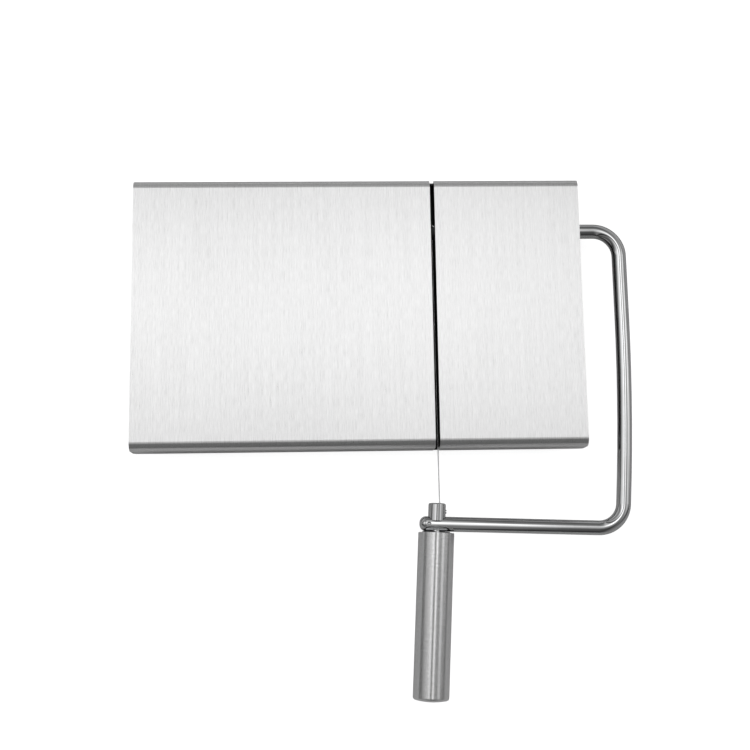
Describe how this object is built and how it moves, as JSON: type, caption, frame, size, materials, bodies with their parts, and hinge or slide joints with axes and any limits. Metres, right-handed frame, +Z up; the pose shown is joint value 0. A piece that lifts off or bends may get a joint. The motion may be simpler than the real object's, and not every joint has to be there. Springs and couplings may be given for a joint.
{
  "type": "cheese wire cutter",
  "caption": "Low brushed-steel cheese board with a taut cutting wire on a hinged round-rod arm and a screw-tension handle.",
  "frame": {"origin": "on the table, below the middle of the whole object's box with the arm down", "axes": "+X to the right along the board's length, +Y away from the user towards the hinge, +Z up; the handle points towards -Y"},
  "size_m": [0.233, 0.2412, 0.0212],
  "materials": {
    "brushed_deck": "fine brush grain running from front to rear",
    "polished_steel": "polished",
    "satin_handle": "satin, fine lengthwise grain",
    "turned_steel": "turned",
    "wire_steel": "drawn wire",
    "plated_steel": "zinc plated",
    "black_plastic": "moulded matte black",
    "block_plastic": "moulded, fine texture",
    "nylon": "turned nylon",
    "bush_bronze": "sintered bronze, dull",
    "foot_rubber": "moulded matte rubber"
  },
  "bodies": {
    "base": {"block_nuts": "plated_steel", "block_studs": "plated_steel", "cross_rail_front": "plated_steel", "cross_rail_rear": "plated_steel", "deck_plate_left": "brushed_deck", "deck_plate_right": "brushed_deck", "foot_front_left": "foot_rubber", "foot_front_right": "foot_rubber", "foot_nuts": "plated_steel", "foot_rear_left": "foot_rubber", "foot_rear_right": "foot_rubber", "foot_screws": "plated_steel", "pivot_block_left": "block_plastic", "pivot_block_right": "block_plastic", "pivot_bush_left": "bush_bronze", "pivot_bush_right": "bush_bronze", "rail_nuts": "plated_steel", "rail_spacers": "plated_steel", "rail_studs": "plated_steel", "rail_washers": "plated_steel", "slot_liner": "black_plastic"},
    "arm": {"arm_rod": "polished_steel", "axle_sleeve": "black_plastic", "shaft_collar": "plated_steel", "collar_screw": "plated_steel", "retaining_clip": "plated_steel", "axle_washer": "plated_steel", "cutting_wire": "wire_steel", "wire_ball": "wire_steel", "wire_tail": "wire_steel"},
    "tension": {"tension_bolt": "polished_steel", "wire_clamp_screw": "wire_steel"},
    "handle": {"handle_sleeve": "satin_handle", "handle_plug": "nylon", "handle_insert": "turned_steel"}
  },
  "joints": [
    {"name": "arm_hinge", "type": "hinge", "parent": "base", "child": "arm", "pos_m": [0.02395, 0.09628, 0.013], "axis": [-1, 0, 0], "range_deg": [0, 160]},
    {"name": "handle_turn", "type": "hinge", "parent": "arm", "child": "handle", "pos_m": [0.02292, -0.04155, 0.013], "axis": [-0.0567, -0.9984, 0], "range_deg": [0, 720]},
    {"name": "tension_slide", "type": "slide", "parent": "arm", "child": "tension", "axis": [0.0567, 0.9984, 0], "range_m": [0, 0.0014]}
  ],
  "couplings": [
    {"joint": "tension_slide", "follows": "handle_turn", "m_per_rad": 0.0001114}
  ]
}
